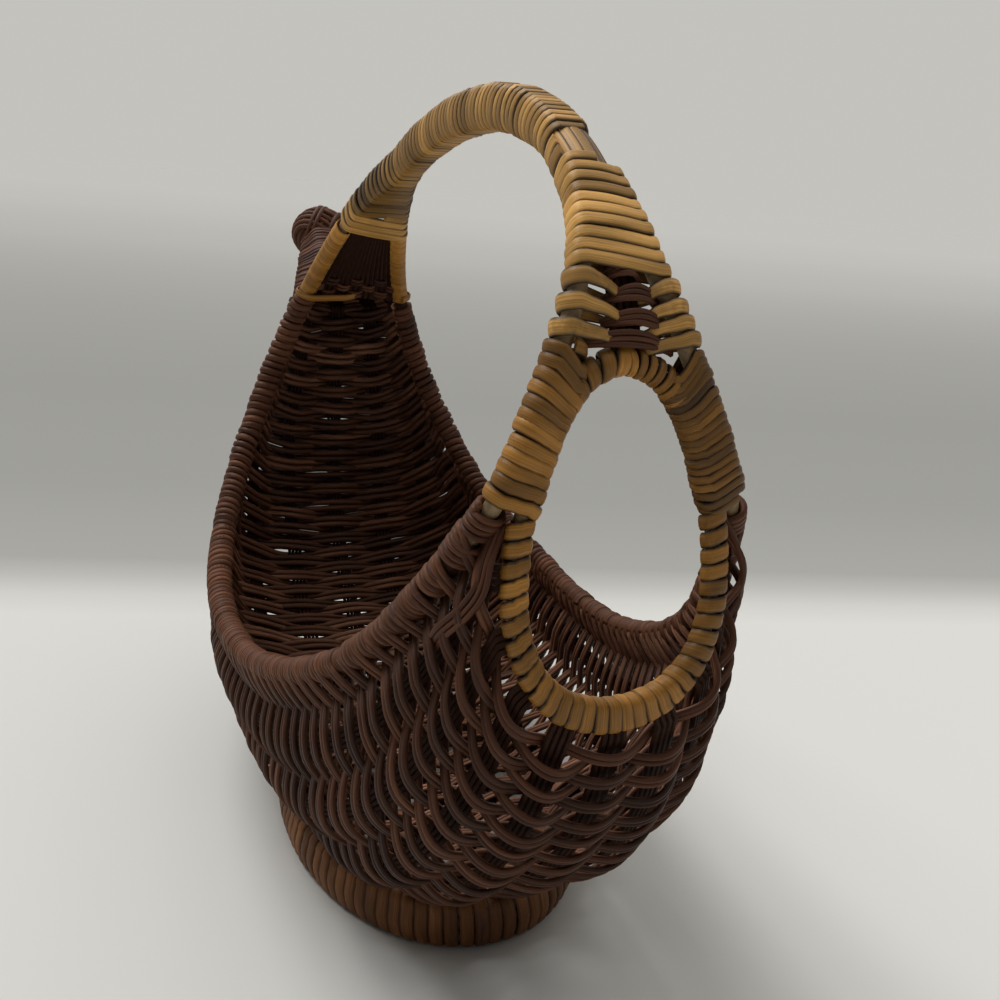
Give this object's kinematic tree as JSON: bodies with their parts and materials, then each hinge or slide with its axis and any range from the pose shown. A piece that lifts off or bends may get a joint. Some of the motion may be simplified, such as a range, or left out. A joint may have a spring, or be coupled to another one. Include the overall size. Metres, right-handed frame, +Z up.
{
  "type": "egg basket",
  "caption": "Bird-shaped cane egg basket with a woven belly, an arched handle, an egg-shaped ring at the tail, a knob head on a short neck and an oval wrapped foot.",
  "frame": {"origin": "on the floor, under the middle of the basket's box from tail ring to head", "axes": "+X towards the tail ring, -X towards the head, +Y to the right as seen from the tail, +Z up"},
  "size_m": [0.3962, 0.1698, 0.2991],
  "materials": {
    "honey_cane": "varnished split cane, honey brown",
    "pale_cane": "bare round cane, pale tan",
    "dark_cane": "stained woven cane, dark brown",
    "foot_cane": "stained split cane, mid brown"
  },
  "bodies": {
    "root": {"left_side_hoop": "pale_cane", "right_side_hoop": "pale_cane", "handle_upper_filler": "pale_cane", "handle_lower_filler": "pale_cane", "handle_wrap": "honey_cane", "tail_gable_wrap": "honey_cane", "neck_gable_wrap": "honey_cane", "left_prong_wrap": "honey_cane", "right_prong_wrap": "honey_cane", "prong_tie": "honey_cane", "panel_stake_1": "dark_cane", "panel_stake_2": "dark_cane", "panel_stake_3": "dark_cane", "panel_strand_1": "dark_cane", "panel_strand_2": "dark_cane", "panel_strand_3": "dark_cane", "tail_ring": "pale_cane", "tail_ring_wrap": "honey_cane", "right_ring_top_wrap": "honey_cane", "left_ring_top_wrap": "honey_cane", "left_leg_binding": "honey_cane", "right_leg_binding": "honey_cane", "gable_stake": "dark_cane", "gable_strand_1": "honey_cane", "gable_strand_2": "honey_cane", "gable_strand_3": "honey_cane", "right_neck_stake": "dark_cane", "left_neck_stake": "dark_cane", "rib_1": "dark_cane", "rib_2": "dark_cane", "rib_3": "dark_cane", "rib_4": "dark_cane", "rib_5": "dark_cane", "rib_6": "dark_cane", "rib_7": "dark_cane", "rib_8": "dark_cane", "rib_9": "dark_cane", "weaver_1": "dark_cane", "weaver_2": "dark_cane", "weaver_3": "dark_cane", "weaver_4": "dark_cane", "weaver_5": "dark_cane", "weaver_6": "dark_cane", "weaver_7": "dark_cane", "weaver_8": "dark_cane", "weaver_9": "dark_cane", "weaver_10": "dark_cane", "neck_winding": "dark_cane", "head_core": "dark_cane", "head_winding": "dark_cane", "foot_hoop_1": "pale_cane", "foot_hoop_2": "pale_cane", "foot_hoop_3": "pale_cane", "right_foot_wrap": "foot_cane", "left_foot_wrap": "foot_cane"}
  },
  "joints": []
}
